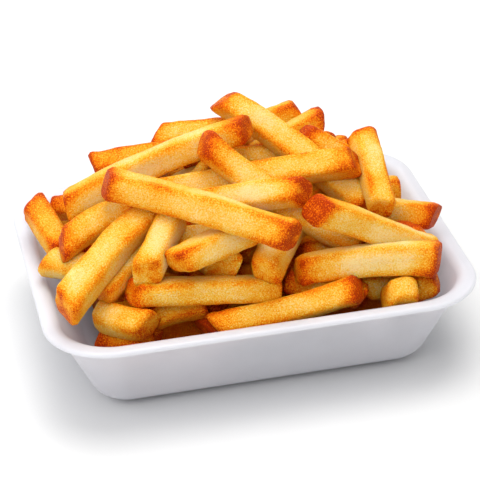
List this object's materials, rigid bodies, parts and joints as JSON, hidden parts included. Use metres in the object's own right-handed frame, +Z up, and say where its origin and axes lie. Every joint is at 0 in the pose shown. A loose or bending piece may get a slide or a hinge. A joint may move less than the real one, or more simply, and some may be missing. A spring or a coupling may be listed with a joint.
{
  "type": "french fries in a takeaway tray",
  "caption": "Shallow white takeaway tray with sloping walls and a rounded lip, heaped with thick-cut french fries.",
  "frame": {"origin": "centre of the tray's footprint, on the surface it rests on", "axes": "+X along the tray's long side, -Y towards the picture's front, +Z up"},
  "size_m": [0.18, 0.14, 0.103],
  "materials": {
    "fries": "golden fried crust",
    "tray": "smooth white foam"
  },
  "bodies": {
    "root": {"fries": "fries", "tray": "tray"}
  },
  "joints": []
}
